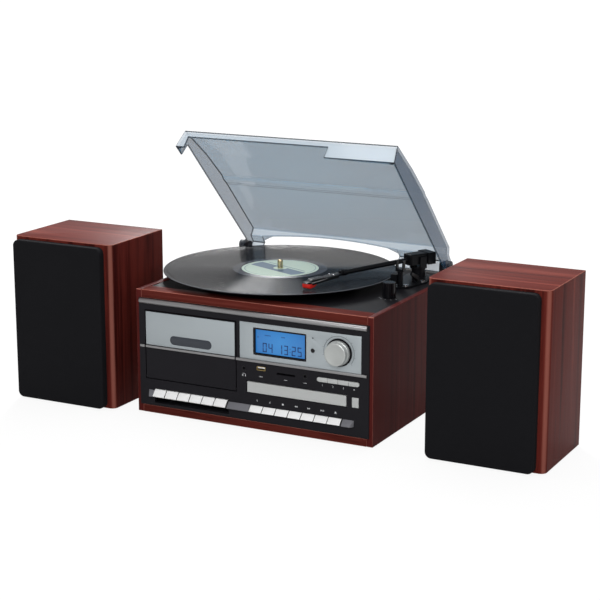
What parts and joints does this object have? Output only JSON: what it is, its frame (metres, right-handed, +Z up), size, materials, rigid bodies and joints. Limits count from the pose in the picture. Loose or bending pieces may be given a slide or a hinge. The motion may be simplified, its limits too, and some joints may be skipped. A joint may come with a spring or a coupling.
{
  "type": "stereo music centre with turntable and two speakers",
  "caption": "Wooden cabinet with a turntable under a hinged clear cover, a cassette deck, a disc tray, a lit display and push keys, with a loose speaker on either side.",
  "frame": {"origin": "middle of the whole set's footprint, on the surface that it stands on", "axes": "+X to the user's right along the row of speaker, cabinet and speaker, +Y to the back, +Z up"},
  "size_m": [0.7226, 0.3143, 0.3506],
  "materials": {
    "wood": "lacquered cherry veneer",
    "black_plastic": "satin black",
    "silver_panel": "satin silver paint",
    "chrome_trim": "bright plated",
    "grey_plastic": "satin grey",
    "key_white": "semi gloss pale silver",
    "display": "backlit display in a dark frame",
    "circuit_board": "green solder mask",
    "steel": "plain sheet steel",
    "rubber": "matt black rubber",
    "cloth": "stretched black speaker cloth",
    "smoked_plastic": "smoked clear plastic",
    "vinyl": "grooved black vinyl with a paper label",
    "black_metal": "satin black",
    "red_plastic": "black shell with a red cartridge"
  },
  "bodies": {
    "cabinet": {"side_panel_left": "wood", "side_panel_right": "wood", "base_board": "wood", "front_top_rail": "wood", "speaker_box_left": "wood", "speaker_box_right": "wood", "back_panel": "black_plastic", "deck_plate": "black_plastic", "fascia": "black_plastic", "bright_trim": "chrome_trim", "key_strip": "grey_plastic", "display_panel": "silver_panel", "lcd_module": "display", "circuit_boards": "circuit_board", "transformer": "steel", "front_sockets": "black_plastic", "rear_sockets": "black_plastic", "cassette_mechanism": "steel", "cd_loader": "black_plastic", "drive_motor": "steel", "drive_belt": "rubber", "rubber_feet": "rubber", "screws": "chrome_trim", "hinge_brackets": "black_plastic", "arm_base": "black_plastic", "speaker_grilles": "cloth", "woofers": "black_plastic"},
    "dust_cover": {"dust_cover": "smoked_plastic"},
    "platter": {"platter": "black_plastic", "slip_mat": "rubber", "record": "vinyl"},
    "motor_pulley": {"motor_pulley": "black_plastic"},
    "arm_yoke": {"arm_yoke": "black_plastic"},
    "tonearm": {"tonearm": "black_metal", "headshell": "red_plastic"},
    "cue_lever": {"cue_lever": "chrome_trim"},
    "speed_knob": {"speed_knob": "black_plastic"},
    "volume_knob": {"volume_knob": "silver_panel"},
    "cassette_door": {"cassette_door": "black_plastic"},
    "cd_tray": {"cd_tray": "silver_panel"},
    "supply_hub": {"supply_hub": "black_plastic"},
    "takeup_hub": {"takeup_hub": "black_plastic"},
    "tray_button": {"tray_button": "silver_panel"},
    "tape_key_1": {"tape_key_1": "key_white"},
    "tape_key_2": {"tape_key_2": "key_white"},
    "tape_key_3": {"tape_key_3": "key_white"},
    "tape_key_4": {"tape_key_4": "key_white"},
    "tape_key_5": {"tape_key_5": "key_white"},
    "tape_key_6": {"tape_key_6": "key_white"},
    "deck_key_1": {"deck_key_1": "key_white"},
    "deck_key_2": {"deck_key_2": "key_white"},
    "deck_key_3": {"deck_key_3": "key_white"},
    "deck_key_4": {"deck_key_4": "key_white"},
    "deck_key_5": {"deck_key_5": "key_white"},
    "deck_key_6": {"deck_key_6": "key_white"},
    "deck_key_7": {"deck_key_7": "key_white"},
    "function_button_1": {"function_button_1": "silver_panel"},
    "function_button_2": {"function_button_2": "silver_panel"},
    "function_button_3": {"function_button_3": "silver_panel"},
    "function_button_4": {"function_button_4": "silver_panel"}
  },
  "joints": [
    {"name": "lid_hinge", "type": "hinge", "parent": "cabinet", "child": "dust_cover", "pos_m": [-0.01815, 0.11935, 0.1735], "axis": [-1, 0, 0], "range_deg": [-44.6, 0]},
    {"name": "platter_spin", "type": "hinge", "parent": "cabinet", "child": "platter", "pos_m": [-0.05315, 0.00635, 0.1665], "axis": [0, 0, -1], "continuous": true},
    {"name": "pulley_spin", "type": "hinge", "parent": "cabinet", "child": "motor_pulley", "pos_m": [-0.11396, 0.06716, 0.1595], "axis": [0, 0, -1], "continuous": true},
    {"name": "tonearm_swing", "type": "hinge", "parent": "cabinet", "child": "arm_yoke", "pos_m": [0.10485, 0.09035, 0.1735], "axis": [0, 0, -1], "range_deg": [-24, 17.5]},
    {"name": "tonearm_lift", "type": "hinge", "parent": "arm_yoke", "child": "tonearm", "pos_m": [0.10485, 0.09035, 0.1865], "axis": [-0.8746, 0.4848, 0], "range_deg": [0, 6]},
    {"name": "cue_lever_turn", "type": "hinge", "parent": "cabinet", "child": "cue_lever", "pos_m": [0.11585, 0.05435, 0.1685], "axis": [-1, 0, 0], "range_deg": [0, 40]},
    {"name": "speed_knob_turn", "type": "hinge", "parent": "cabinet", "child": "speed_knob", "pos_m": [0.11865, -0.03065, 0.1665], "axis": [0, 0, 1], "range_deg": [-30, 30]},
    {"name": "volume_knob_turn", "type": "hinge", "parent": "cabinet", "child": "volume_knob", "pos_m": [0.10305, -0.13565, 0.1143], "axis": [0, -1, 0], "range_deg": [-150, 150]},
    {"name": "cassette_door_hinge", "type": "hinge", "parent": "cabinet", "child": "cassette_door", "pos_m": [-0.1034, -0.13585, 0.05], "axis": [1, 0, 0], "range_deg": [0, 35]},
    {"name": "cd_tray_slide", "type": "slide", "parent": "cabinet", "child": "cd_tray", "axis": [0, -1, 0], "range_m": [0, 0.13]},
    {"name": "supply_hub_spin", "type": "hinge", "parent": "cabinet", "child": "supply_hub", "pos_m": [-0.12465, -0.12065, 0.0875], "axis": [0, -1, 0], "continuous": true},
    {"name": "takeup_hub_spin", "type": "hinge", "parent": "cabinet", "child": "takeup_hub", "pos_m": [-0.08215, -0.12065, 0.0875], "axis": [0, -1, 0], "continuous": true},
    {"name": "tape_key_1_press", "type": "hinge", "parent": "cabinet", "child": "tape_key_1", "pos_m": [-0.14775, -0.11365, 0.0295], "axis": [1, 0, 0], "range_deg": [0, 8], "stiffness_Nm_per_rad": 0.05, "springref_deg": -6.88},
    {"name": "tape_key_2_press", "type": "hinge", "parent": "cabinet", "child": "tape_key_2", "pos_m": [-0.13, -0.11365, 0.0295], "axis": [1, 0, 0], "range_deg": [0, 8], "stiffness_Nm_per_rad": 0.05, "springref_deg": -6.88},
    {"name": "tape_key_3_press", "type": "hinge", "parent": "cabinet", "child": "tape_key_3", "pos_m": [-0.11225, -0.11365, 0.0295], "axis": [1, 0, 0], "range_deg": [0, 8], "stiffness_Nm_per_rad": 0.05, "springref_deg": -6.88},
    {"name": "tape_key_4_press", "type": "hinge", "parent": "cabinet", "child": "tape_key_4", "pos_m": [-0.0945, -0.11365, 0.0295], "axis": [1, 0, 0], "range_deg": [0, 8], "stiffness_Nm_per_rad": 0.05, "springref_deg": -6.88},
    {"name": "tape_key_5_press", "type": "hinge", "parent": "cabinet", "child": "tape_key_5", "pos_m": [-0.07675, -0.11365, 0.0295], "axis": [1, 0, 0], "range_deg": [0, 8], "stiffness_Nm_per_rad": 0.05, "springref_deg": -6.88},
    {"name": "tape_key_6_press", "type": "hinge", "parent": "cabinet", "child": "tape_key_6", "pos_m": [-0.059, -0.11365, 0.0295], "axis": [1, 0, 0], "range_deg": [0, 8], "stiffness_Nm_per_rad": 0.05, "springref_deg": -6.88},
    {"name": "deck_key_1_press", "type": "slide", "parent": "cabinet", "child": "deck_key_1", "axis": [0, 1, 0], "range_m": [0, 0.002], "stiffness_N_per_m": 120, "springref_m": -0.002},
    {"name": "deck_key_2_press", "type": "slide", "parent": "cabinet", "child": "deck_key_2", "axis": [0, 1, 0], "range_m": [0, 0.002], "stiffness_N_per_m": 120, "springref_m": -0.002},
    {"name": "deck_key_3_press", "type": "slide", "parent": "cabinet", "child": "deck_key_3", "axis": [0, 1, 0], "range_m": [0, 0.002], "stiffness_N_per_m": 120, "springref_m": -0.002},
    {"name": "deck_key_4_press", "type": "slide", "parent": "cabinet", "child": "deck_key_4", "axis": [0, 1, 0], "range_m": [0, 0.002], "stiffness_N_per_m": 120, "springref_m": -0.002},
    {"name": "deck_key_5_press", "type": "slide", "parent": "cabinet", "child": "deck_key_5", "axis": [0, 1, 0], "range_m": [0, 0.002], "stiffness_N_per_m": 120, "springref_m": -0.002},
    {"name": "deck_key_6_press", "type": "slide", "parent": "cabinet", "child": "deck_key_6", "axis": [0, 1, 0], "range_m": [0, 0.002], "stiffness_N_per_m": 120, "springref_m": -0.002},
    {"name": "deck_key_7_press", "type": "slide", "parent": "cabinet", "child": "deck_key_7", "axis": [0, 1, 0], "range_m": [0, 0.002], "stiffness_N_per_m": 120, "springref_m": -0.002},
    {"name": "function_button_1_press", "type": "slide", "parent": "cabinet", "child": "function_button_1", "axis": [0, 1, 0], "range_m": [0, 0.0015], "stiffness_N_per_m": 100, "springref_m": -0.002},
    {"name": "function_button_2_press", "type": "slide", "parent": "cabinet", "child": "function_button_2", "axis": [0, 1, 0], "range_m": [0, 0.0015], "stiffness_N_per_m": 100, "springref_m": -0.002},
    {"name": "function_button_3_press", "type": "slide", "parent": "cabinet", "child": "function_button_3", "axis": [0, 1, 0], "range_m": [0, 0.0015], "stiffness_N_per_m": 100, "springref_m": -0.002},
    {"name": "function_button_4_press", "type": "slide", "parent": "cabinet", "child": "function_button_4", "axis": [0, 1, 0], "range_m": [0, 0.0015], "stiffness_N_per_m": 100, "springref_m": -0.002},
    {"name": "tray_button_press", "type": "slide", "parent": "cabinet", "child": "tray_button", "axis": [0, 1, 0], "range_m": [0, 0.0015], "stiffness_N_per_m": 100, "springref_m": -0.002}
  ],
  "couplings": [
    {"joint": "pulley_spin", "follows": "platter_spin", "ratio": 11.75},
    {"joint": "cue_lever_turn", "follows": "tonearm_lift", "ratio": 6.6}
  ]
}
